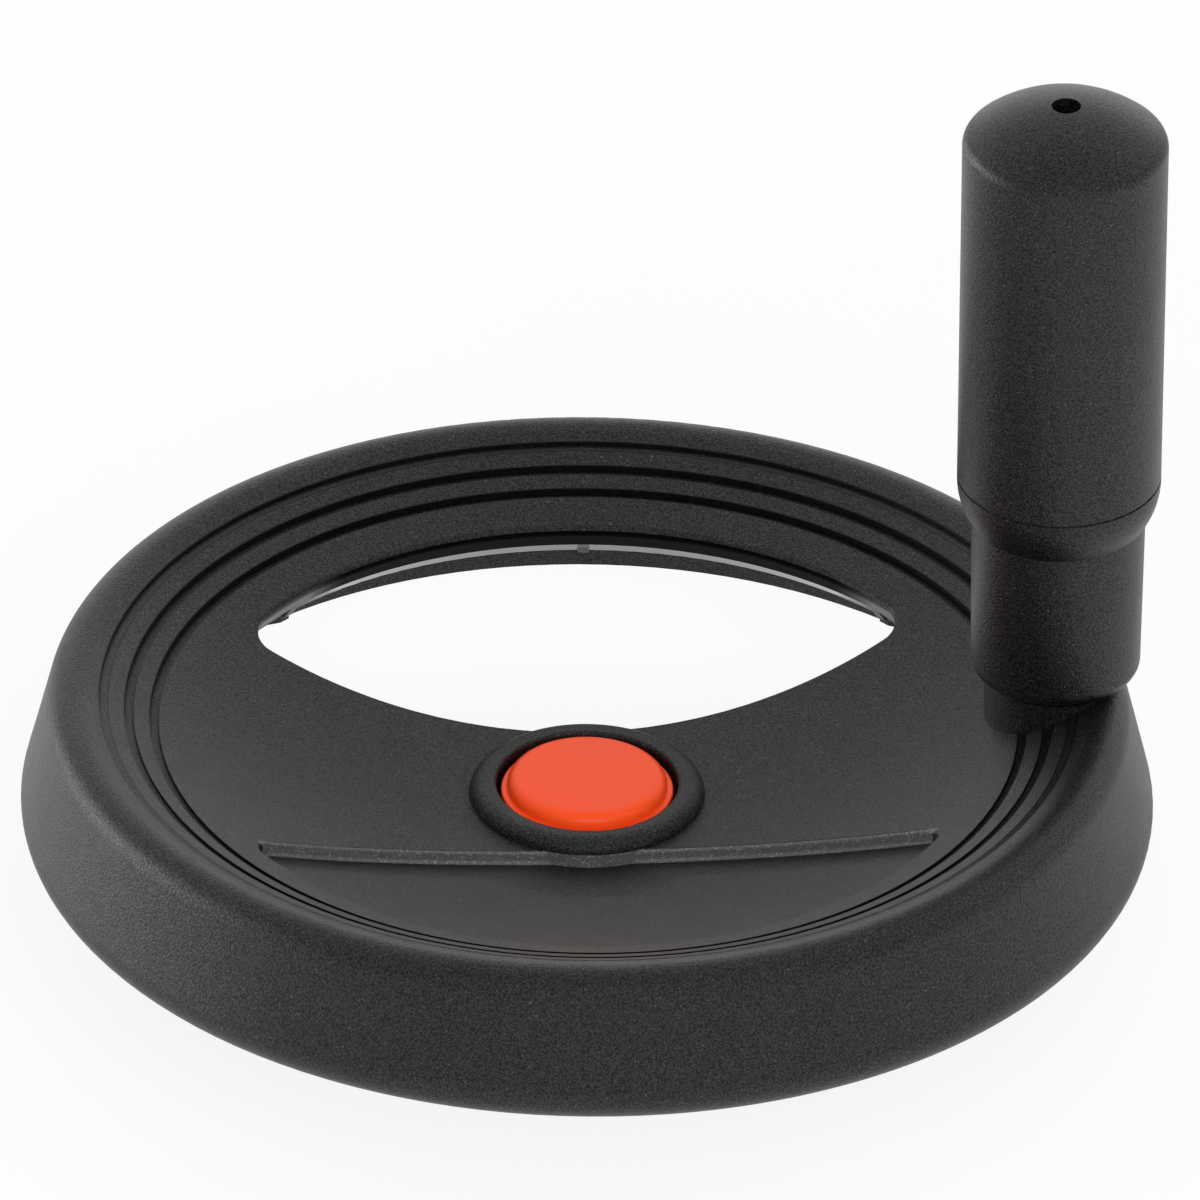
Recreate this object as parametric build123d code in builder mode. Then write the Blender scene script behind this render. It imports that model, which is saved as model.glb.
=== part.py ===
"""Machine handwheel with a dished face, a lens-shaped opening and a revolving grip.

Frame: the bore axis is Z and the back face of the hub is Z = 0.  The dished face,
the collar cap and the grip are on the +Z side.  The lens-shaped opening is on the
+Y side and the grip stands a few degrees from +X.  All sizes are millimetres and
degrees.
"""
from build123d import *
import math
import os

# ---------------------------------------------------------------- driving sizes
# Rim
WHEEL_DIA = 125.0            # widest diameter of the rim
HUB_PROJECTION = 15.0        # rim foot above the back face of the hub
FOOT_FILLET = 3.3            # outer edge of the rim foot
FLANK_TAPER = 13.6           # rim flank leans towards the axis, degrees
SKIRT_INSET = 8.2            # inner skirt wall, inwards from the widest radius
SKIRT_FILLET = 1.5
CREST_FILLET = 3.2

# Dished face
DISH_RADIUS = 120.0          # spherical radius of the front face
DISH_APEX = 3.4              # lowest point of the dish above the rim foot
DISH_WALL = 4.4

# Three ring grooves near the crest
GROOVE_INSET = 8.5           # outer wall of the outermost groove, inwards from the widest radius
GROOVE_PITCH = 2.8
GROOVE_WIDTH = 1.0
GROOVE_DEPTHS = (0.5, 0.8, 0.85)    # at the outer wall, from the outermost groove inwards

# Lens-shaped opening (+Y)
OPENING_INSET = 19.7         # rim-side edge, inwards from the widest radius
OPENING_HUB_GAP = 0.25       # least web between the collar and the opening
OPENING_HUB_ARC = 74.0       # radius of the hub-side edge
OPENING_TIP_FILLET = 3.5
OPENING_EDGE_FILLET = 0.8
DRAFT_WIDTH = 2.5            # rim-side wall leans outwards below the edge
DRAFT_HEIGHT = 3.1
UNDERCUT_WIDTH = 1.7         # chamfer at the foot of that wall
UNDERCUT_HEIGHT = 1.8
BEAD_WIDTH = 2.5             # thickened band round the back of the opening
BEAD_HEIGHT = 1.8

# Lens-shaped recess (-Y), which runs under the collar
RECESS_INSET = 19.0          # rim-side edge, inwards from the widest radius
RECESS_HUB_EDGE = 12.0       # hub-side edge to the bore axis
RECESS_HUB_ARC = 91.5        # radius of the hub-side edge
RECESS_TIP_FILLET = 2.5
RECESS_DEPTH = 1.5
RECESS_FILLET = 0.35

# Ribs on the back of the dish
RIB_COUNT = 8
RIB_TURN = -2.5              # first rib, degrees from the middle of the opening
RIB_WIDTH = 1.3
RIB_HEIGHT = 1.8             # below the back of the dish
RIB_HUB_GUSSET = 5.0
RIB_FOOT_GAP = 0.8           # rib ends above the rim foot
RIB_SKIRT_GUSSET = 8.0
RIB_STUB_INSET = 0.5         # rib stubs end this far inside the foot of the opening wall

# Hub, bush and cap recess
COLLAR_DIA = 26.1
COLLAR_TOP = 5.7             # above the rim foot
COLLAR_OUTER_FILLET = 1.8
COLLAR_INNER_FILLET = 0.5
HUB_CHAMFER = 0.8
BORE_DIA = 12.0
BUSH_DIA = 18.0
BUSH_CHAMFER = 0.6
CAP_RECESS_DIA = 20.1
SEAT_GAP = 0.04              # radial gap between a fixed piece and its seat

# Hub cap
CAP_FLANGE_DIA = 19.05
CAP_BODY_DIA = 17.7
CAP_TOP = 6.4                # edge of the crowned top, above the rim foot
CAP_CROWN = 0.2
CAP_FLANGE_TOP = 4.8         # above the rim foot
CAP_EDGE_FILLET = 1.35
CAP_FLANGE_FILLET = 0.25
CAP_PLATE = 1.8
CAP_SKIRT_WALL = 1.4
CAP_LUG_COUNT = 3
CAP_LUG_WIDTH = 4.0
CAP_LUG_HEIGHT = 1.2

# Handle boss on the rim
HANDLE_INSET = 10.7          # handle axis, inwards from the widest radius
HANDLE_TURN = 3.0            # handle axis, degrees from +X towards the opening
BOSS_DIA = 15.7
BOSS_RISE = 0.1              # boss top above the crest of the rim
BOSS_FOOT_GAP = 0.6          # boss ends above the rim foot

# Threaded insert
INSERT_DIA = 10.0
INSERT_LENGTH = 14.0
INSERT_RECESS = 0.1          # insert sits below the boss top
INSERT_CHAMFER = 0.4

# Spindle
SPINDLE_DIA = 8.0
SPINDLE_LENGTH = 64.5        # above the boss top
THREAD_LENGTH = 12.0
SPINDLE_COLLAR_DIA = 13.5
SPINDLE_COLLAR_THICKNESS = 2.2
SPINDLE_CHAMFER = 0.5
KEY_FLATS = 3.0
KEY_DEPTH = 4.0
RING_END_GAP = 7.5           # middle of the ring groove to the outer end
RING_GROOVE_DEPTH = 0.6

# Retaining ring
RING_WIRE = 1.4              # radial width of the ring
RING_THICKNESS = 1.0
RING_SPLIT = 2.6
RING_GAP = 0.05

# Grip
GRIP_FOOT_GAP = 0.25         # grip foot above the boss top
GRIP_LENGTH = 72.7
GRIP_FOOT_DIA = 18.65
NECK_DIA = 19.25
NECK_LENGTH = 19.7
SHOULDER_LEVEL = 23.2        # above the grip foot
SHOULDER_DIA = 22.2
GRIP_SEAM_LEVEL = 25.25      # above the grip foot
GRIP_SEAM_DIA = 22.52
GRIP_DIA = 22.72
GRIP_SEAM_DEPTH = 0.12
GRIP_SEAM_WIDTH = 0.3
GRIP_DOME_RADIUS = 16.5
GRIP_EDGE_FILLET = 1.6
GRIP_FOOT_FILLET = 1.8
GRIP_KEY_HOLE_DIA = 3.25
GRIP_BORE_GAP = 0.06         # running gap on the spindle, radial
GRIP_END_GAP = 0.5           # above the spindle end
COLLAR_POCKET_GAP = 0.4      # radial gap round the spindle collar
END_FLOAT = 0.15             # axial float of the grip on the spindle collar
RING_POCKET_GAP = 0.2        # gap round the retaining ring inside the grip

# ---------------------------------------------------------------- derived sizes
WHEEL_R = WHEEL_DIA / 2
FOOT_Z = HUB_PROJECTION
SKIRT_R = WHEEL_R - SKIRT_INSET
DISH_CENTRE_Z = FOOT_Z + DISH_APEX + DISH_RADIUS


LEAN = math.radians(FLANK_TAPER)
FOOT_CORNER_R = WHEEL_R + FOOT_FILLET * ((1 + math.sin(LEAN)) / math.cos(LEAN) - 1)


def crest_height():
    """Highest level of the rim: the fillet between the dish and the tapered flank."""
    start_r = FOOT_CORNER_R - CREST_FILLET * math.cos(LEAN)
    start_z = FOOT_Z - CREST_FILLET * math.sin(LEAN)
    # Slide the fillet centre up the flank until the fillet touches the dish
    half_b = start_r * math.sin(LEAN) + (DISH_CENTRE_Z - start_z) * math.cos(LEAN)
    reach = (DISH_RADIUS + CREST_FILLET)**2
    rest = start_r**2 + (DISH_CENTRE_Z - start_z)**2 - reach
    climb = half_b - math.sqrt(half_b**2 - rest)
    return start_z + climb * math.cos(LEAN) + CREST_FILLET


BACK_RADIUS = DISH_RADIUS + DISH_WALL
BEAD_RADIUS = BACK_RADIUS + BEAD_HEIGHT
RIB_RADIUS = BACK_RADIUS + RIB_HEIGHT
COLLAR_R = COLLAR_DIA / 2
COLLAR_TOP_Z = FOOT_Z + COLLAR_TOP
BUSH_R = BUSH_DIA / 2
BUSH_SEAT_R = BUSH_R + SEAT_GAP
CAP_RECESS_R = CAP_RECESS_DIA / 2
OPENING_R = WHEEL_R - OPENING_INSET
UNDERCUT_R = OPENING_R + DRAFT_WIDTH + UNDERCUT_WIDTH
OPENING_ARC_Y = COLLAR_R + OPENING_HUB_GAP + OPENING_HUB_ARC
RECESS_R = WHEEL_R - RECESS_INSET
HANDLE_X = (WHEEL_R - HANDLE_INSET) * math.cos(math.radians(HANDLE_TURN))
HANDLE_Y = (WHEEL_R - HANDLE_INSET) * math.sin(math.radians(HANDLE_TURN))
BOSS_R = BOSS_DIA / 2
INSERT_SEAT_R = INSERT_DIA / 2 + SEAT_GAP
CREST_Z = crest_height()
BOSS_TOP_Z = CREST_Z + BOSS_RISE
INSERT_TOP_Z = BOSS_TOP_Z - INSERT_RECESS
SPINDLE_R = SPINDLE_DIA / 2
SPINDLE_TOP_Z = BOSS_TOP_Z + SPINDLE_LENGTH
RING_Z = SPINDLE_TOP_Z - RING_END_GAP
RING_GROOVE_R = SPINDLE_R - RING_GROOVE_DEPTH
RING_INNER_R = RING_GROOVE_R + RING_GAP
RING_OUTER_R = RING_INNER_R + RING_WIRE
GRIP_FOOT_Z = BOSS_TOP_Z + GRIP_FOOT_GAP
GRIP_APEX_Z = GRIP_FOOT_Z + GRIP_LENGTH
SPINDLE_COLLAR_Z = BOSS_TOP_Z + SPINDLE_COLLAR_THICKNESS
HANDLE_PLANE = Plane(origin=(HANDLE_X, HANDLE_Y, 0), x_dir=(1, 0, 0), z_dir=(0, -1, 0))
HANDLE_AXIS = Axis((HANDLE_X, HANDLE_Y, 0), (0, 0, 1))
AXES = {"bore": (0, 0), "handle": (HANDLE_X, HANDLE_Y)}
NEAR = 0.01                  # tolerance for picking edges


def shell_z(radius, r):
    """Height at distance r from the axis of a sphere concentric with the dish."""
    return DISH_CENTRE_Z - math.sqrt(radius**2 - r**2)


def shell_arc(radius, r_start, r_end):
    """Arc of a concentric sphere in the axial section, from r_start to r_end."""
    r_mid = (r_start + r_end) / 2
    return ThreePointArc(*[(r, shell_z(radius, r)) for r in (r_start, r_mid, r_end)])


def lens_face(rim_r, arc_y, hub_arc, tip_fillet, z):
    """Lens between a circle about the bore and a circle centred at arc_y, at height z."""
    with BuildSketch(Plane.XY.offset(z)) as lens:
        Circle(rim_r)
        with Locations((0, arc_y)):
            Circle(hub_arc, mode=Mode.INTERSECT)
        fillet(lens.vertices(), tip_fillet)
    return lens.sketch


def opening_face(rim_r, z):
    """Outline of the opening at height z, with its rim side at rim_r."""
    return lens_face(rim_r, OPENING_ARC_Y, OPENING_HUB_ARC, OPENING_TIP_FILLET, z)


def opening_cutter(stub=0.0):
    """Prism whose rim side leans outwards to a foot chamfer; stub is left of the chamfer."""
    edge_z = shell_z(DISH_RADIUS, OPENING_R)
    wall_z = edge_z - DRAFT_HEIGHT
    wall_r = OPENING_R + DRAFT_WIDTH
    back_z = wall_z - UNDERCUT_HEIGHT
    with BuildPart() as cutter:
        extrude(opening_face(OPENING_R, edge_z), amount=HUB_PROJECTION)
        loft([opening_face(OPENING_R, edge_z), opening_face(wall_r, wall_z)], ruled=True)
        loft([opening_face(wall_r, wall_z), opening_face(UNDERCUT_R - stub, back_z)], ruled=True)
        extrude(opening_face(UNDERCUT_R, back_z), amount=-back_z)
    return cutter.part


def recess_cutter():
    """Lens prism above a floor that follows the dish."""
    top_z = shell_z(DISH_RADIUS, RECESS_R) + RECESS_DEPTH
    arc_y = -RECESS_HUB_EDGE - RECESS_HUB_ARC
    with BuildPart() as cutter:
        extrude(lens_face(RECESS_R, arc_y, RECESS_HUB_ARC, RECESS_TIP_FILLET, top_z), amount=-top_z)
        with Locations((0, 0, DISH_CENTRE_Z)):
            Sphere(DISH_RADIUS + RECESS_DEPTH, mode=Mode.INTERSECT)
    return cutter.part


def opening_bead():
    """Band that thickens the dish round the back of the opening."""
    rim_r = UNDERCUT_R + BEAD_WIDTH
    outline = lens_face(rim_r, OPENING_ARC_Y, OPENING_HUB_ARC + BEAD_WIDTH, OPENING_TIP_FILLET, 0)
    with BuildPart() as bead:
        with BuildSketch(Plane.XZ):
            with BuildLine():
                outer = shell_arc(BEAD_RADIUS, 0, rim_r)
                inner = shell_arc(BACK_RADIUS - DISH_WALL / 2, 0, rim_r)
                Line(outer @ 0, inner @ 0)
                Line(outer @ 1, inner @ 1)
            make_face()
        revolve(axis=Axis.Z)
        extrude(outline, amount=BOSS_TOP_Z, mode=Mode.INTERSECT)
    return bead.part


def ribs():
    """Ribs on the back of the dish from the hub to the rim skirt."""
    hub_r = BUSH_SEAT_R + RIB_WIDTH
    inner_r = COLLAR_R + RIB_HUB_GUSSET
    outer_r = SKIRT_R - RIB_SKIRT_GUSSET
    end_r = SKIRT_R + RIB_WIDTH / 2
    hub_z = shell_z(RIB_RADIUS, inner_r) - inner_r + hub_r
    core = DISH_RADIUS + DISH_WALL / 2
    with BuildPart() as rib:
        with BuildSketch(Plane.XZ):
            with BuildLine():
                back = shell_arc(RIB_RADIUS, inner_r, outer_r)
                top = shell_arc(core, hub_r, end_r)
                Polyline(back @ 0, (hub_r, hub_z), top @ 0)
                Polyline(back @ 1, (end_r, FOOT_Z + RIB_FOOT_GAP), top @ 1)
            make_face()
        extrude(amount=RIB_WIDTH / 2, both=True)
    with BuildPart() as all_ribs:
        with PolarLocations(0, RIB_COUNT, start_angle=90 + RIB_TURN):
            add(rib.part)
        add(opening_cutter(RIB_STUB_INSET), mode=Mode.SUBTRACT)
    return all_ribs.part


def hub():
    """Hub boss from the back face up to the rounded collar."""
    with BuildPart() as boss:
        Cylinder(COLLAR_R, COLLAR_TOP_Z, align=(Align.CENTER, Align.CENTER, Align.MIN))
        fillet(boss.edges().filter_by(GeomType.CIRCLE).sort_by(Axis.Z)[-1], COLLAR_OUTER_FILLET)
        chamfer(boss.edges().filter_by(GeomType.CIRCLE).sort_by(Axis.Z)[0], HUB_CHAMFER)
    return boss.part


def grooves():
    """Ring grooves with level floors, kept clear of the handle boss."""
    with BuildPart() as rings:
        for index, depth in enumerate(GROOVE_DEPTHS):
            outer_r = WHEEL_R - GROOVE_INSET - index * GROOVE_PITCH
            floor_z = shell_z(DISH_RADIUS, outer_r) - depth
            with Locations((0, 0, floor_z)):
                Cylinder(outer_r, depth * 2, align=(Align.CENTER, Align.CENTER, Align.MIN))
                Cylinder(outer_r - GROOVE_WIDTH, depth * 2, mode=Mode.SUBTRACT,
                         align=(Align.CENTER, Align.CENTER, Align.MIN))
        with Locations((HANDLE_X, HANDLE_Y, FOOT_Z)):
            Cylinder(BOSS_R, BOSS_TOP_Z, mode=Mode.SUBTRACT,
                     align=(Align.CENTER, Align.CENTER, Align.MIN))
    return rings.part


def ring_of_edges(part, axis_name, radius, level):
    """Edges of the part on a cylinder about the bore or handle axis, at one level."""
    axis_x, axis_y = AXES[axis_name]

    def lies_on(edge):
        points = [edge @ share for share in (0.0, 0.3, 0.7, 1.0)]
        on_wall = all(abs(math.hypot(p.X - axis_x, p.Y - axis_y) - radius) < NEAR for p in points)
        return on_wall and all(abs(p.Z - level) < NEAR for p in points)
    return part.edges().filter_by(lies_on)


def shell_edges(part, radius, side, rim_r):
    """Edges on a dish shell round the opening (side +1) or the recess (side -1)."""
    shell_centre = Vector(0, 0, DISH_CENTRE_Z)

    def bounds_lens(edge):
        points = [edge @ share for share in (0.0, 0.3, 0.7, 1.0)]
        on_shell = all(abs((p - shell_centre).length - radius) < NEAR for p in points)
        in_lens = all(p.X**2 + p.Y**2 < (rim_r + NEAR)**2 and side * p.Y > 0 for p in points)
        return on_shell and in_lens
    return part.edges().filter_by(bounds_lens)


# ------------------------------------------------------------------------ wheel
flank_top_z = CREST_Z + CREST_FILLET
flank_top_r = FOOT_CORNER_R - (flank_top_z - FOOT_Z) * math.tan(LEAN)

with BuildPart() as wheel:
    # Dished disc and rim skirt, turned about the bore axis
    with BuildSketch(Plane.XZ):
        with BuildLine():
            back = shell_arc(BACK_RADIUS, 0, SKIRT_R)
            Polyline(back @ 1, (SKIRT_R, FOOT_Z), (FOOT_CORNER_R, FOOT_Z),
                     (flank_top_r, flank_top_z), (0, flank_top_z), back @ 0)
        make_face()
    revolve(axis=Axis.Z)
    with Locations((0, 0, DISH_CENTRE_Z)):
        Sphere(DISH_RADIUS, mode=Mode.SUBTRACT)
    fillet(wheel.edges().filter_by(GeomType.CIRCLE).sort_by(Axis.Z)[-1], CREST_FILLET)
    fillet(ring_of_edges(wheel, "bore", FOOT_CORNER_R, FOOT_Z), FOOT_FILLET)
    fillet(ring_of_edges(wheel, "bore", SKIRT_R, shell_z(BACK_RADIUS, SKIRT_R)), SKIRT_FILLET)

    # Handle boss through the dish, level with the crest
    boss_height = BOSS_TOP_Z - FOOT_Z - BOSS_FOOT_GAP
    with Locations((HANDLE_X, HANDLE_Y, FOOT_Z + BOSS_FOOT_GAP)):
        Cylinder(BOSS_R, boss_height, align=(Align.CENTER, Align.CENTER, Align.MIN))

    # Opening with its thickened back edge, and the recess opposite
    add(opening_bead())
    add(opening_cutter(), mode=Mode.SUBTRACT)
    add(recess_cutter(), mode=Mode.SUBTRACT)
    fillet(shell_edges(wheel, DISH_RADIUS, 1, OPENING_R), OPENING_EDGE_FILLET)
    fillet(shell_edges(wheel, DISH_RADIUS + RECESS_DEPTH, -1, RECESS_R), RECESS_FILLET)
    fillet(shell_edges(wheel, DISH_RADIUS, -1, RECESS_R), RECESS_FILLET)

    # Ring grooves, ended at the wall of the boss
    add(grooves(), mode=Mode.SUBTRACT)

    # Ribs, cut back where the opening passes between them
    add(ribs())

    # Hub with its collar, bush seat and cap recess
    add(hub())
    with Locations((0, 0, FOOT_Z)):
        Cylinder(CAP_RECESS_R, COLLAR_TOP, mode=Mode.SUBTRACT,
                 align=(Align.CENTER, Align.CENTER, Align.MIN))
    fillet(ring_of_edges(wheel, "bore", CAP_RECESS_R, COLLAR_TOP_Z), COLLAR_INNER_FILLET)
    Cylinder(BUSH_SEAT_R, FOOT_Z, mode=Mode.SUBTRACT,
             align=(Align.CENTER, Align.CENTER, Align.MIN))

    # Seat of the threaded insert
    with Locations((HANDLE_X, HANDLE_Y, BOSS_TOP_Z)):
        Cylinder(INSERT_SEAT_R, INSERT_RECESS + INSERT_LENGTH, mode=Mode.SUBTRACT,
                 align=(Align.CENTER, Align.CENTER, Align.MAX))

# --------------------------------------------------------------------- hub bush
with BuildPart() as hub_bush:
    Cylinder(BUSH_R, FOOT_Z, align=(Align.CENTER, Align.CENTER, Align.MIN))
    Hole(BORE_DIA / 2)
    chamfer(ring_of_edges(hub_bush, "bore", BORE_DIA / 2, FOOT_Z), BUSH_CHAMFER)

# ---------------------------------------------------------------------- hub cap
cap_skirt_r = CAP_FLANGE_DIA / 2
cap_body_r = CAP_BODY_DIA / 2
cap_edge_z = FOOT_Z + CAP_TOP
cap_apex_z = cap_edge_z + CAP_CROWN
cap_crown_radius = (cap_body_r**2 + CAP_CROWN**2) / (2 * CAP_CROWN)
with BuildPart() as hub_cap:
    with BuildSketch(Plane.XY.offset(FOOT_Z + SEAT_GAP)):
        Circle(cap_skirt_r)
    extrude(amount=CAP_FLANGE_TOP - SEAT_GAP)
    fillet(hub_cap.edges().filter_by(GeomType.CIRCLE).sort_by(Axis.Z)[-1], CAP_FLANGE_FILLET)
    with BuildSketch(Plane.XZ):
        with BuildLine():
            Polyline((0, cap_apex_z), (0, FOOT_Z), (cap_body_r, FOOT_Z), (cap_body_r, cap_edge_z))
            RadiusArc((cap_body_r, cap_edge_z), (0, cap_apex_z), -cap_crown_radius)
        make_face()
    revolve(axis=Axis.Z)
    fillet(ring_of_edges(hub_cap, "bore", cap_body_r, cap_edge_z), CAP_EDGE_FILLET)
    with BuildSketch(Plane.XY.offset(FOOT_Z)):
        Circle(cap_skirt_r - CAP_SKIRT_WALL)
    extrude(amount=CAP_TOP - CAP_PLATE, mode=Mode.SUBTRACT)
    # Snap lugs at the foot of the skirt
    with BuildSketch(Plane.XY.offset(FOOT_Z + SEAT_GAP)):
        with PolarLocations(cap_skirt_r, CAP_LUG_COUNT):
            Rectangle(CAP_LUG_WIDTH, CAP_LUG_WIDTH)
        Circle(CAP_RECESS_R - SEAT_GAP, mode=Mode.INTERSECT)
        Circle(cap_skirt_r - CAP_SKIRT_WALL / 2, mode=Mode.SUBTRACT)
    extrude(amount=CAP_LUG_HEIGHT)

# -------------------------------------------------------------- threaded insert
thread_seat_r = SPINDLE_R + SEAT_GAP
with BuildPart() as threaded_insert:
    with Locations((HANDLE_X, HANDLE_Y, INSERT_TOP_Z)):
        Cylinder(INSERT_DIA / 2, INSERT_LENGTH, align=(Align.CENTER, Align.CENTER, Align.MAX))
        Cylinder(thread_seat_r, INSERT_LENGTH, mode=Mode.SUBTRACT,
                 align=(Align.CENTER, Align.CENTER, Align.MAX))
    chamfer(ring_of_edges(threaded_insert, "handle", thread_seat_r, INSERT_TOP_Z), INSERT_CHAMFER)

# ---------------------------------------------------------------------- spindle
thread_end_z = BOSS_TOP_Z - THREAD_LENGTH
ring_slot = RING_THICKNESS / 2 + RING_GAP
with BuildPart() as handle_spindle:
    with BuildSketch(HANDLE_PLANE):
        with BuildLine():
            Polyline(
                (0, thread_end_z), (SPINDLE_R, thread_end_z), (SPINDLE_R, BOSS_TOP_Z),
                (SPINDLE_COLLAR_DIA / 2, BOSS_TOP_Z), (SPINDLE_COLLAR_DIA / 2, SPINDLE_COLLAR_Z),
                (SPINDLE_R, SPINDLE_COLLAR_Z), (SPINDLE_R, RING_Z - ring_slot),
                (RING_GROOVE_R, RING_Z - ring_slot), (RING_GROOVE_R, RING_Z + ring_slot),
                (SPINDLE_R, RING_Z + ring_slot), (SPINDLE_R, SPINDLE_TOP_Z), (0, SPINDLE_TOP_Z),
                close=True)
        make_face()
    revolve(axis=HANDLE_AXIS)
    for end_z in (thread_end_z, SPINDLE_TOP_Z):
        chamfer(ring_of_edges(handle_spindle, "handle", SPINDLE_R, end_z), SPINDLE_CHAMFER)
    # Hexagon socket in the outer end
    with BuildSketch(Plane.XY.offset(SPINDLE_TOP_Z)):
        with Locations((HANDLE_X, HANDLE_Y)):
            RegularPolygon(KEY_FLATS / 2, 6, major_radius=False)
    extrude(amount=-KEY_DEPTH, mode=Mode.SUBTRACT)

# --------------------------------------------------------------- retaining ring
with BuildPart() as retaining_ring:
    with BuildSketch(Plane.XY.offset(RING_Z - RING_THICKNESS / 2)):
        with Locations((HANDLE_X, HANDLE_Y)):
            Circle(RING_OUTER_R)
            Circle(RING_INNER_R, mode=Mode.SUBTRACT)
        with Locations((HANDLE_X + RING_OUTER_R, HANDLE_Y)):
            Rectangle(RING_OUTER_R * 2, RING_SPLIT, mode=Mode.SUBTRACT)
    extrude(amount=RING_THICKNESS)

# ------------------------------------------------------------------------- grip
neck_top = (NECK_DIA / 2, GRIP_FOOT_Z + NECK_LENGTH)
shoulder = (SHOULDER_DIA / 2, GRIP_FOOT_Z + SHOULDER_LEVEL)
seam = (GRIP_SEAM_DIA / 2, GRIP_FOOT_Z + GRIP_SEAM_LEVEL)
dome_drop = GRIP_DOME_RADIUS - math.sqrt(GRIP_DOME_RADIUS**2 - (GRIP_DIA / 2)**2)
dome_edge = (GRIP_DIA / 2, GRIP_APEX_Z - dome_drop)
collar_pocket_r = SPINDLE_COLLAR_DIA / 2 + COLLAR_POCKET_GAP
ring_pocket = RING_THICKNESS + 2 * RING_POCKET_GAP
with BuildPart() as handle_grip:
    with BuildSketch(HANDLE_PLANE):
        with BuildLine():
            Polyline((0, GRIP_APEX_Z), (0, GRIP_FOOT_Z), (GRIP_FOOT_DIA / 2, GRIP_FOOT_Z), neck_top)
            ThreePointArc(neck_top, shoulder, seam)
            Line(seam, dome_edge)
            RadiusArc(dome_edge, (0, GRIP_APEX_Z), -GRIP_DOME_RADIUS)
        make_face()
    revolve(axis=HANDLE_AXIS)
    fillet(ring_of_edges(handle_grip, "handle", GRIP_DIA / 2, dome_edge[1]), GRIP_EDGE_FILLET)
    fillet(ring_of_edges(handle_grip, "handle", GRIP_FOOT_DIA / 2, GRIP_FOOT_Z), GRIP_FOOT_FILLET)
    # Fine seam line between the neck and the grip
    with BuildSketch(HANDLE_PLANE):
        with Locations(seam):
            Rectangle(GRIP_SEAM_DEPTH * 2, GRIP_SEAM_WIDTH)
    revolve(axis=HANDLE_AXIS, mode=Mode.SUBTRACT)
    # Pocket round the spindle collar, running bore, ring pocket and key hole
    with Locations((HANDLE_X, HANDLE_Y, GRIP_FOOT_Z)):
        Cylinder(collar_pocket_r, SPINDLE_COLLAR_Z + END_FLOAT - GRIP_FOOT_Z, mode=Mode.SUBTRACT,
                 align=(Align.CENTER, Align.CENTER, Align.MIN))
        Cylinder(SPINDLE_R + GRIP_BORE_GAP, SPINDLE_TOP_Z + GRIP_END_GAP - GRIP_FOOT_Z,
                 mode=Mode.SUBTRACT, align=(Align.CENTER, Align.CENTER, Align.MIN))
        Cylinder(GRIP_KEY_HOLE_DIA / 2, GRIP_LENGTH, mode=Mode.SUBTRACT,
                 align=(Align.CENTER, Align.CENTER, Align.MIN))
    with Locations((HANDLE_X, HANDLE_Y, RING_Z)):
        Cylinder(RING_OUTER_R + RING_POCKET_GAP, ring_pocket, mode=Mode.SUBTRACT)

# ----------------------------------------------------------------------- output
os.makedirs("parts", exist_ok=True)
PIECES = {
    "wheel": wheel,
    "hub_bush": hub_bush,
    "hub_cap": hub_cap,
    "threaded_insert": threaded_insert,
    "handle_spindle": handle_spindle,
    "retaining_ring": retaining_ring,
    "handle_grip": handle_grip,
}
for piece_name, piece in PIECES.items():
    piece.part.label = piece_name
    export_step(piece.part, f"parts/{piece_name}.step")
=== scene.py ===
"""Finish, light and camera for a machine handwheel with a revolving grip.

The rim, hub, cap and grip come from the frame; this script gives them their moulded
and turned surfaces.  Everything is in metres, with the bore axis on Z.
"""
import math

import bmesh
import bpy
from mathutils import Matrix, Vector

# ---------------------------------------------------------- the mould's texture
GRAIN_SCALE = 4200.0                 # noise cells per metre
GRAIN_TONES = (0.40, 0.60)           # grain below the first is darkest, above the second lightest
GRAIN_LIGHTEST = 2.0                 # against the plastic's own shade
GRAIN_DEPTH = 0.00011
GRAIN_BUMP = 0.8
# painted shade in the grain's hollows: the darkest grain is turned darker, for the shade that falls
# in them
PIT_RANGE = (0.40, 0.58)             # grain below the first is a full pit, above the second none
PIT_SHADE_DEPTH = 0.42                     # share of the surface that a full pit turns dark
PATCH_SCALE = 210.0                  # slow unevenness of the mould
PATCH_TONE = 0.3
PATCH_ROUGHNESS = 0.08               # added where the patches are strongest
FLECK_SCALE = 7000.0                 # single bright grains
FLECK_SHADE = (0.45, 0.45, 0.46)
FLECK_STOPS = [(0.988, 0.0), (1.0, 0.16)]
MOULD_SHEEN = 0.54                   # specular level of the grained plastic
# painted shade: near-black along the groove edges and on the wall behind the opening, with how fully
# it covers each
MARK_PAINTED_SHADE = (0.004, 0.004, 0.004)   # groove edges and the wall behind the opening
WALL_SHADE_COVER = 0.9
GROOVE_SHADE_COVER = 0.52

# ------------------------------------------------- the wheel's front face, in m
FOOT_Z = 0.0150                      # rim foot above the hub's back face
FACE_APEX = 0.0034                   # lowest point of the front face above the rim foot
FACE_BOWL = 0.24                     # twice the radius of the front face

# Lens-shaped recess: painted light on its hub-side wall and on the collar's wall that goes on down
# into it, a lighter grey with coarse bright flecks in place of the light they catch
LEDGE_PAINTED_LIGHT = (0.085, 0.085, 0.086)
LEDGE_COVER = 0.8
LEDGE_FLECK_STOPS = [(0.80, 0.0), (1.0, 0.3)]
LEDGE_ARC_Y = -0.1035                # centre of the wall's arc
LEDGE_RADII = (0.0911, 0.0917)
LEDGE_FALL = -0.0021                 # the wall lies no lower than this under the face
LEDGE_SPAN = (0.0132, 0.0425)        # from the bore axis
COLLAR_RADII = (0.01295, 0.0132)
COLLAR_HEIGHTS = (0.0023, 0.0041)    # above the rim foot

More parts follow.
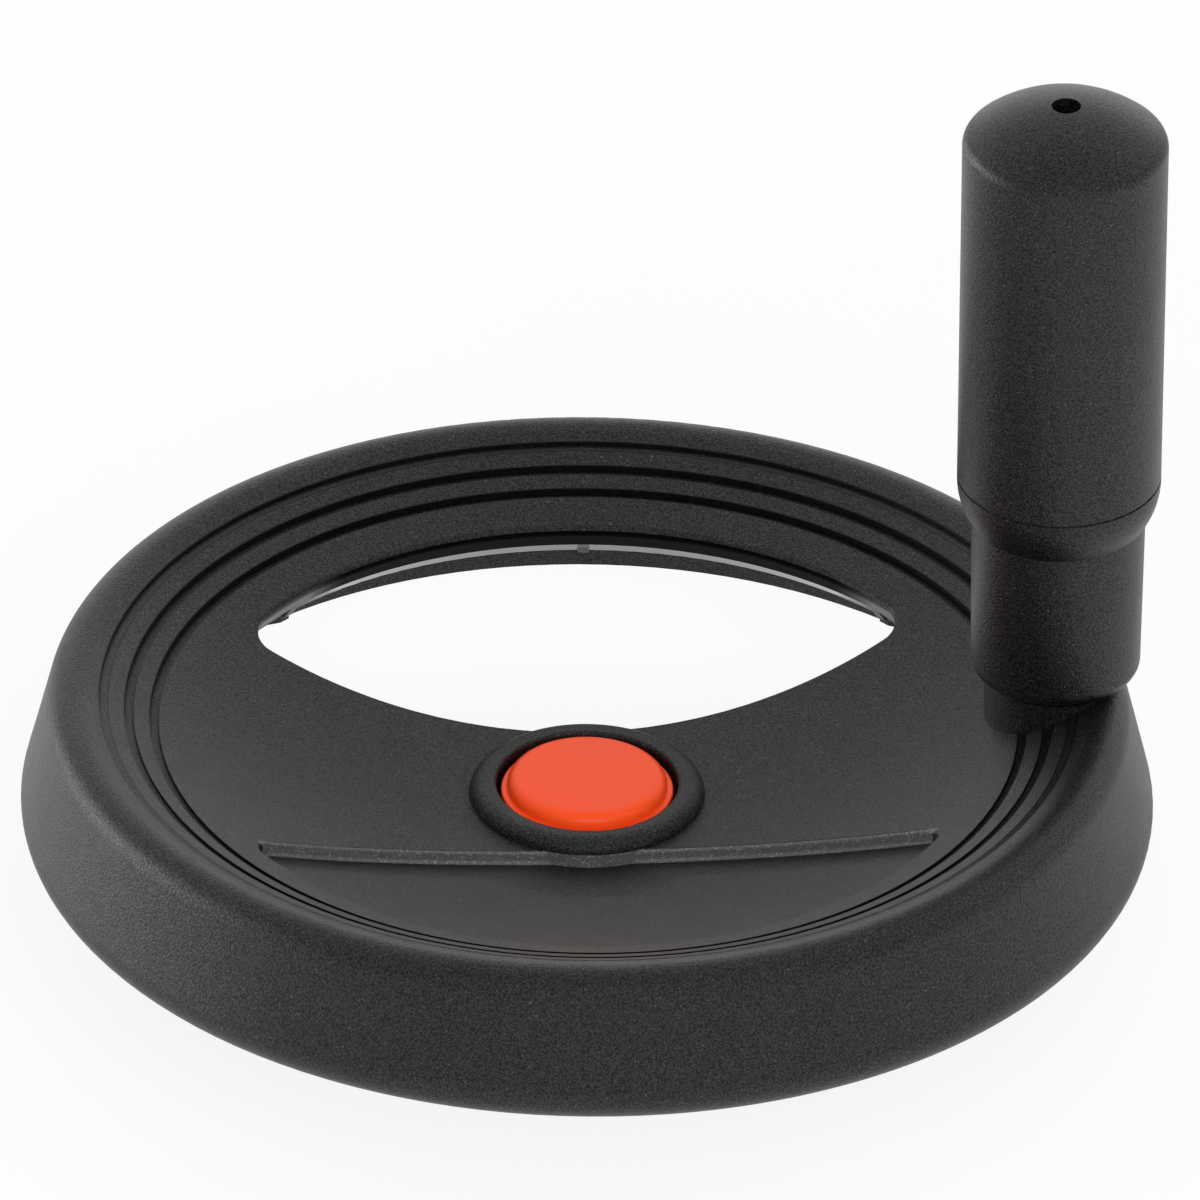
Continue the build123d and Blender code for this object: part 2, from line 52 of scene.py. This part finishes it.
# Grooves that follow the dish
GROOVE_R = 0.0540                    # outer wall of the outermost groove
GROOVE_PITCH = 0.0028
GROOVE_WIDTH = 0.0010
GROOVE_COUNT = 3
# the lines along the groove edges are painted shade, for the shade inside the narrow grooves
GROOVE_LINE = 0.00012                # half the width of the dark line along each groove edge
GROOVE_LINE_FADE = 0.01              # in groove pitches
GROOVE_FACE_Z = 0.01245              # front face inside the innermost groove, above the rim foot
GROOVE_FACE_RISE = 0.46              # rise of the face over a run outwards
GROOVE_FACE_RANGE = (-0.0012, 0.0002)    # the lines stay between these, from that face

# Lens-shaped opening: a smooth undercut chamfer on its rim side, a leaning wall above it that is
# painted near-black as painted shade.
# Both are cones about Z, and their levels are heights above the hub's back face.
CHAMFER_ROUGHNESS = 0.08             # the chamfer has no grain
CHAMFER_SLOPE = 1.7 / 1.8            # run over fall
CHAMFER_REACH = 0.06700              # radius + slope * height on that cone, less a margin
CHAMFER_LEVELS = (0.02139, 0.02320)
WALL_SLOPE = 2.5 / 3.1
WALL_REACH = 0.06380
WALL_LEVELS = (0.02320, 0.02620)
OPENING_LIMIT = 0.0485               # past the deepest undercut, short of the rim's skirt
OPENING_MIDDLE = 0.002               # X of the middle of the chamfer's visible stretch
OPENING_FADE = (0.0272, 0.0313)      # to either side of it, where the marks start and end fading
SQUARE_SCALE = 1000.0                # brings a squared length in metres below 1 for a ramp

# ------------------------------------------------------------- the other finishes
FLOW_SCALE = 90.0                    # flow marks in the cap
SKIN_SCALE = 900.0                   # fine waviness of its polish
FLOW_DEPTH = 0.00004
FLOW_BUMP = 0.2
FLOW_TONE = 0.9                      # the marks' darker shade
SKIN_SHARE = 0.2                     # of the skin in the bump
SKIN_ROUGHNESS = 0.08
CAP_SHEEN = 0.25                     # specular level of the polished plastic
RING_SCALE = 6000.0                  # tool rings per metre along Z
RING_STRETCH = (0.02, 0.02, 1.0)
RING_DEPTH = 0.00002
RING_BUMP = 0.3
TARNISH_SCALE = 260.0
TARNISH_TONE = 0.78
TARNISH_ROUGHNESS = 0.15

# --------------------------------------------------------- floor, light and camera
WHITE = (1.0, 1.0, 1.0, 1.0)
FLOOR_SHADE = (0.85, 0.85, 0.85, 1.0)
FLOOR_REACH = 3.0
FLOOR_Z = -0.0001                    # just under the hub's back face
FLOOR_WHITENESS = 0.88               # the rest of the floor is its own shading, with the shadow
TENT_LEVELS = [(0.0, 0.78), (0.50, 0.95), (0.85, 1.05), (0.97, 0.60)]    # sine of height, grey
TENT_FRONT = 0.34                    # the tent is dimmer on the camera's side
TENT_FRONT_END = 0.3                 # along Y, where it has its full brightness
TENT_LEFT = 0.45
TENT_LEFT_END = -0.3                 # along X
LAMP_TARGET = Vector((0, 0, 0.03))
VIEW_TURN = math.radians(-3.5)       # the camera stands a little to the left of the front
VIEW_ELEVATION = math.radians(31.92)
VIEW_ROLL = 0.0142
VIEW_WIDTH = 0.13252                 # width of the scene at the wheel
VIEW_RIGHT = 0.00112                 # middle of the picture, from the bore axis at the rim foot
VIEW_UP = 0.02477
VIEW_DEPTH = 100.0                   # how far the camera sees
LENS = 1600.0
SENSOR = 36.0

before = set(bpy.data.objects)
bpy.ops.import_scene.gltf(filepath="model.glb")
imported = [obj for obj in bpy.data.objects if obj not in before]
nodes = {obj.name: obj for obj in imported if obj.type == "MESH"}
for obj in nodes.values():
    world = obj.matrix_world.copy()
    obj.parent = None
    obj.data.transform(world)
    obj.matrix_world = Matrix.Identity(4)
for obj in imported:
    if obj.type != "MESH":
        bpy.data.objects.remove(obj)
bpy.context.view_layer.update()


# ------------------------------------------------------------- shader building
class Signal:
    """A value that runs through a node tree; arithmetic on it adds Math nodes."""

    def __init__(self, finish, socket):
        self.finish = finish
        self.socket = socket

    def _math(self, operation, first, second=0.0):
        return self.finish.node("ShaderNodeMath", {"operation": operation}, {0: first, 1: second})

    def __add__(self, other):
        return self._math("ADD", self, other)

    def __radd__(self, other):
        return self._math("ADD", other, self)

    def __sub__(self, other):
        return self._math("SUBTRACT", self, other)

    def __rsub__(self, other):
        return self._math("SUBTRACT", other, self)

    def __mul__(self, other):
        return self._math("MULTIPLY", self, other)

    def __rmul__(self, other):
        return self._math("MULTIPLY", other, self)

    def root(self):
        return self._math("SQRT", self)

    def fraction(self):
        return self._math("FRACT", self)

    def greater(self, other):
        """The greater of two values."""
        return self._math("MAXIMUM", self, other)

    def above(self, level):
        """1 where the value is above a level, else 0."""
        return self._math("GREATER_THAN", self, level)

    def between(self, levels):
        """1 between two levels, else 0."""
        return self.above(levels[0]) * (1.0 - self.above(levels[1]))

    def ramp(self, stops):
        """The value led through (position, grey) stops."""
        return self.finish.node("ShaderNodeValToRGB", {"stops": stops}, {0: self})

    def axes(self):
        """The X, Y and Z parts of a place."""
        parts = self.finish.node("ShaderNodeSeparateXYZ", None, {0: self}).socket.node.outputs
        return [Signal(self.finish, part) for part in parts]


class Finish:
    """The node tree of a material or of the world."""

    def __init__(self, owner):
        owner.use_nodes = True
        self.owner = owner
        self.tree = owner.node_tree
        self.tree.nodes.clear()

    def node(self, kind, settings=None, inputs=None, out=0):
        """Adds a node with its settings first, then its sockets, and gives one of its outputs."""
        made = self.tree.nodes.new(kind)
        for key, value in (settings or {}).items():
            if key == "stops":
                self.set_stops(made.color_ramp.elements, value)
            else:
                setattr(made, key, value)
        for key, value in (inputs or {}).items():
            self.feed(made.inputs[key], value)
        return Signal(self, made.outputs[out]) if made.outputs else None

    def set_stops(self, elements, stops):
        while len(elements) < len(stops):
            elements.new(0.5)
        for element, (position, grey) in zip(elements, stops):
            element.position = position
            element.color = (grey, grey, grey, 1.0)

    def feed(self, socket, value):
        if isinstance(value, Signal):
            self.tree.links.new(value.socket, socket)
        else:
            socket.default_value = value

    def place(self):
        return self.node("ShaderNodeTexCoord", out="Object")

    def noise(self, place, scale, detail):
        return self.node("ShaderNodeTexNoise", None,
                         {"Vector": place, "Scale": scale, "Detail": detail, "Roughness": 0.6})

    def mix(self, factor, first, second):
        """Colour blend from first to second; plain tuples get an alpha."""
        shades = [(*shade, 1.0) if isinstance(shade, tuple) else shade for shade in (first, second)]
        return self.node("ShaderNodeMix", {"data_type": "RGBA"},
                         {0: factor, 6: shades[0], 7: shades[1]}, out=2)

    def bump(self, height, strength, distance):
        return self.node("ShaderNodeBump", None,
                         {"Strength": strength, "Distance": distance, "Height": height})

    def surface(self, **values):
        """A Principled surface; an underscore in a name stands for the space in its socket's."""
        return self.node("ShaderNodeBsdfPrincipled", None,
                         {key.replace("_", " "): value for key, value in values.items()})

    def blend(self, factor, first, second):
        return self.node("ShaderNodeMixShader", None, {0: factor, 1: first, 2: second})

    def end(self, kind, shader):
        """Leads the shader to the tree's output and gives back the material or world."""
        self.node(kind, None, {"Surface": shader})
        return self.owner


def new_finish(name):
    return Finish(bpy.data.materials.new(name))


def scaled(shade, factor):
    return tuple(factor * part for part in shade)


# --------------------------------------------------- marks on the wheel's front
def distance(along, across):
    return (along * along + across * across).root()


def opening_band(place, slope, reach, levels):
    """1 beyond a cone about Z, between two levels, behind the middle of the opening."""
    x, y, z = place.axes()
    radius = distance(x, y)
    beyond = (radius + slope * z).above(reach) * (1.0 - radius.above(OPENING_LIMIT))
    aside = x - OPENING_MIDDLE
    start, end = [SQUARE_SCALE * half ** 2 for half in OPENING_FADE]
    middle = (aside * aside * SQUARE_SCALE).ramp([(start, 1.0), (end, 0.0)])
    return beyond * z.between(levels) * middle * y.above(0.0)


def recess_wall(place):
    """1 on the hub-side wall of the recess and on the collar's wall below the face."""
    # this mask says where the painted light goes
    x, y, z = place.axes()
    height = z - FOOT_Z
    radius = distance(x, y)
    at_face = (height - FACE_APEX - radius * radius * (1.0 / FACE_BOWL)).above(LEDGE_FALL)
    on_arc = distance(x, y - LEDGE_ARC_Y).between(LEDGE_RADII)
    straight = on_arc * radius.between(LEDGE_SPAN) * at_face
    round_hub = radius.between(COLLAR_RADII) * height.between(COLLAR_HEIGHTS)
    return straight + round_hub * (0.0 - y).above(0.0)


def groove_shade_lines(place):
    """1 on a thin line along both edges of each groove in the front face."""
    # these lines carry painted shade
    x, y, z = place.axes()
    radius = distance(x, y)
    outer = GROOVE_R + GROOVE_LINE
    inner = outer - GROOVE_COUNT * GROOVE_PITCH
    line = 2.0 * GROOVE_LINE / GROOVE_PITCH
    width = GROOVE_WIDTH / GROOVE_PITCH
    within = ((outer - radius) * (1.0 / GROOVE_PITCH)).fraction()
    edges = within.ramp([(0.0, 1.0), (line, 1.0), (line + GROOVE_LINE_FADE, 0.0),
                         (width - GROOVE_LINE_FADE, 0.0), (width, 1.0),
                         (width + line, 1.0), (width + line + GROOVE_LINE_FADE, 0.0)])
    height = z - FOOT_Z - GROOVE_FACE_Z - GROOVE_FACE_RISE * (radius - inner)
    return edges * radius.between((inner, outer)) * height.between(GROOVE_FACE_RANGE)


# --------------------------------------------------------------------- finishes
def moulded_plastic(name, shade, roughness, front_marks=False):
    """Black plastic from a spark-eroded mould: fine grain with a few bright grains in it.

    The wheel also gets painted light on the hub-side wall of its recess, and painted shade along its
    groove edges and on the wall behind its opening.
    """
    finish = new_finish(name)
    place = finish.place()
    grain = finish.noise(place, GRAIN_SCALE, detail=2.0)
    patches = finish.noise(place, PATCH_SCALE, detail=3.0)
    flecks = finish.node("ShaderNodeTexVoronoi", {"feature": "F1"},
                         {"Vector": place, "Scale": FLECK_SCALE}, out="Color")
    fleck = finish.node("ShaderNodeSeparateColor", None, {0: flecks})
    light_grain = grain.ramp([(GRAIN_TONES[0], 0.0), (GRAIN_TONES[1], 1.0)])
    tone = finish.mix(light_grain, (0.0, 0.0, 0.0), scaled(shade, GRAIN_LIGHTEST))
    tone = finish.mix(PATCH_TONE * patches, tone, shade)
    tone = finish.mix(fleck.ramp(FLECK_STOPS), tone, FLECK_SHADE)
    # painted shade in the grain's hollows
    painted_shade = grain.ramp([(PIT_RANGE[0], PIT_SHADE_DEPTH), (PIT_RANGE[1], 0.0)])
    roughness = roughness + PATCH_ROUGHNESS * patches
    if front_marks:
        chamfer = opening_band(place, CHAMFER_SLOPE, CHAMFER_REACH, CHAMFER_LEVELS)
        # the leaning wall behind the opening gets painted shade below
        wall = opening_band(place, WALL_SLOPE, WALL_REACH, WALL_LEVELS)
        painted_light_ledge = recess_wall(place)
        # painted light: the recess wall and the collar's wall below the face are made a lighter grey
        # with coarse bright flecks
        tone = finish.mix(painted_light_ledge * LEDGE_COVER, tone, LEDGE_PAINTED_LIGHT)
        tone = finish.mix(painted_light_ledge * fleck.ramp(LEDGE_FLECK_STOPS), tone, FLECK_SHADE)
        grain = grain * (1.0 - chamfer)
        roughness = roughness + chamfer * (CHAMFER_ROUGHNESS - roughness)
        # the wall behind the opening is made fully rough, then painted near-black as painted shade
        roughness = roughness + wall * (1.0 - roughness)
        # painted shade: near-black lines along the groove edges, and the dark wall behind the
        # opening
        marks = (wall * WALL_SHADE_COVER).greater(groove_shade_lines(place) * GROOVE_SHADE_COVER)
        tone = finish.mix(marks, tone, MARK_PAINTED_SHADE)
        painted_shade = marks.greater(painted_shade * (1.0 - painted_light_ledge) * (1.0 - chamfer))
    # a near-black metal hardly reflects, so this input paints shade into the grain's hollows and
    # onto the groove lines and the wall behind the opening
    surface = finish.surface(Base_Color=tone, Roughness=roughness, Metallic=painted_shade,
                             Normal=finish.bump(grain, GRAIN_BUMP, GRAIN_DEPTH),
                             Specular_IOR_Level=MOULD_SHEEN)
    return finish.end("ShaderNodeOutputMaterial", surface)


def signal_plastic(name, shade, roughness):
    """Polished signal-coloured plastic with faint flow marks."""
    finish = new_finish(name)
    place = finish.place()
    flow = finish.noise(place, FLOW_SCALE, detail=3.0)
    skin = finish.noise(place, SKIN_SCALE, detail=2.0)
    surface = finish.surface(Base_Color=finish.mix(flow, scaled(shade, FLOW_TONE), shade),
                             Roughness=roughness + SKIN_ROUGHNESS * skin,
                             Normal=finish.bump(flow + SKIN_SHARE * skin, FLOW_BUMP, FLOW_DEPTH),
                             Specular_IOR_Level=CAP_SHEEN)
    return finish.end("ShaderNodeOutputMaterial", surface)


def turned_metal(name, shade, roughness):
    """Metal from the lathe, with fine tool rings round Z and a little tarnish."""
    finish = new_finish(name)
    place = finish.place()
    stretched = finish.node("ShaderNodeMapping", None, {"Vector": place, "Scale": RING_STRETCH})
    rings = finish.noise(stretched, RING_SCALE, detail=2.0)
    tarnish = finish.noise(place, TARNISH_SCALE, detail=4.0)
    surface = finish.surface(Base_Color=finish.mix(tarnish, scaled(shade, TARNISH_TONE), shade),
                             Metallic=1.0, Roughness=roughness + TARNISH_ROUGHNESS * tarnish,
                             Normal=finish.bump(rings, RING_BUMP, RING_DEPTH))
    return finish.end("ShaderNodeOutputMaterial", surface)


def dress(node, material):
    """Gives a frame piece its finish."""
    slots = nodes[node].material_slots
    if not slots:
        nodes[node].data.materials.append(material)
    for slot in slots:
        slot.material = material


dress("wheel", moulded_plastic("wheel black plastic", (0.0055, 0.0055, 0.0057), roughness=0.40,
                               front_marks=True))
dress("handle_grip", moulded_plastic("grip black plastic", (0.0050, 0.0050, 0.0052), roughness=0.36))
dress("hub_cap", signal_plastic("orange cap plastic", (0.90, 0.072, 0.010), roughness=0.26))
dress("hub_bush", turned_metal("turned bush steel", (0.46, 0.46, 0.47), roughness=0.25))
dress("threaded_insert", turned_metal("insert brass", (0.76, 0.55, 0.25), roughness=0.28))
dress("handle_spindle", turned_metal("blackened steel", (0.10, 0.10, 0.105), roughness=0.30))
dress("retaining_ring", turned_metal("spring steel", (0.28, 0.28, 0.29), roughness=0.30))


# -------------------------------------------------------------- floor and light
def pale_floor():
    """A floor that looks nearly white to the camera and keeps a faint shadow."""
    mesh = bpy.data.meshes.new("studio floor")
    shape = bmesh.new()
    bmesh.ops.create_grid(shape, x_segments=1, y_segments=1, size=FLOOR_REACH,
                          matrix=Matrix.Translation((0, 0, FLOOR_Z)))
    shape.to_mesh(mesh)
    shape.free()
    floor = bpy.data.objects.new("studio floor", mesh)
    bpy.context.scene.collection.objects.link(floor)
    finish = new_finish("pale studio floor")
    shaded = finish.surface(Base_Color=FLOOR_SHADE, Roughness=0.9, Specular_IOR_Level=0.1)
    glow = finish.node("ShaderNodeEmission", None, {"Color": WHITE, "Strength": 1.0})
    camera_ray, glossy_ray, clear_ray = [
        finish.node("ShaderNodeLightPath", out=ray)
        for ray in ("Is Camera Ray", "Is Glossy Ray", "Is Transmission Ray")]
    whitened = (camera_ray * FLOOR_WHITENESS).greater(glossy_ray).greater(clear_ray)
    blend = finish.blend(whitened, shaded, glow)
    mesh.materials.append(finish.end("ShaderNodeOutputMaterial", blend))


def studio_world():
    """A light tent, dimmer at the camera's side and at the left; the camera sees plain white."""
    world = bpy.data.worlds.new("studio")
    bpy.context.scene.world = world
    finish = Finish(world)
    x, y, z = finish.node("ShaderNodeTexCoord", out="Generated").axes()
    front = finish.node("ShaderNodeMapRange", None,
                        {"Value": y, "From Min": -1.0, "From Max": TENT_FRONT_END,
                         "To Min": TENT_FRONT, "To Max": 1.0})
    left = finish.node("ShaderNodeMapRange", None,
                       {"Value": x, "From Min": -1.0, "From Max": TENT_LEFT_END,
                        "To Min": TENT_LEFT, "To Max": 1.0})
    tent = finish.node("ShaderNodeBackground", None,
                       {"Color": z.ramp(TENT_LEVELS), "Strength": front * left})
    plain = finish.node("ShaderNodeBackground", None, {"Color": WHITE, "Strength": 1.0})
    camera_ray = finish.node("ShaderNodeLightPath", out="Is Camera Ray")
    finish.end("ShaderNodeOutputWorld", finish.blend(camera_ray, tent, plain))


def softbox(name, location, size, watts):
    """A soft rectangular lamp that looks at the middle of the object."""
    data = bpy.data.lights.new(name, "AREA")
    data.shape = "RECTANGLE"
    data.size, data.size_y = size
    data.energy = watts
    lamp = bpy.data.objects.new(name, data)
    bpy.context.scene.collection.objects.link(lamp)
    lamp.location = location
    lamp.rotation_mode = "QUATERNION"
    lamp.rotation_quaternion = (LAMP_TARGET - Vector(location)).to_track_quat("-Z", "Y")
    return lamp


pale_floor()
studio_world()
softbox("left softbox", (-1.4, 0.5, 0.16), size=(1.3, 0.26), watts=13.0)
softbox("front softbox", (0.15, -1.3, 0.75), size=(1.0, 0.5), watts=2.5)
fill = softbox("fill softbox", (0.1, -1.2, 0.9), size=(1.0, 0.8), watts=14.0)
fill.visible_glossy = False          # fills colours without a highlight
softbox("rear softbox", (0.2, 1.6, 0.22), size=(1.8, 0.35), watts=2.5)


# ----------------------------------------------------------------------- camera
def studio_camera():
    """A long lens that looks down on the wheel, turned and rolled a little."""
    turn = Matrix.Rotation(VIEW_TURN, 3, "Z")
    flat_right = turn @ Vector((1, 0, 0))
    flat_up = turn @ Vector((0, math.sin(VIEW_ELEVATION), math.cos(VIEW_ELEVATION)))
    back = turn @ Vector((0, -math.cos(VIEW_ELEVATION), math.sin(VIEW_ELEVATION)))
    right = flat_right * math.cos(VIEW_ROLL) + flat_up * math.sin(VIEW_ROLL)
    up = flat_up * math.cos(VIEW_ROLL) - flat_right * math.sin(VIEW_ROLL)
    centre = Vector((0, 0, FOOT_Z)) + flat_right * VIEW_RIGHT + flat_up * VIEW_UP
    data = bpy.data.cameras.new("camera")
    data.lens = LENS
    data.sensor_width = SENSOR
    data.clip_end = VIEW_DEPTH
    camera = bpy.data.objects.new("camera", data)
    bpy.context.scene.collection.objects.link(camera)
    placing = Matrix((right, up, back)).transposed().to_4x4()
    placing.translation = centre + back * VIEW_WIDTH * LENS / SENSOR
    camera.matrix_world = placing
    return camera


bpy.context.scene.camera = studio_camera()
bpy.context.scene.view_settings.view_transform = "Standard"
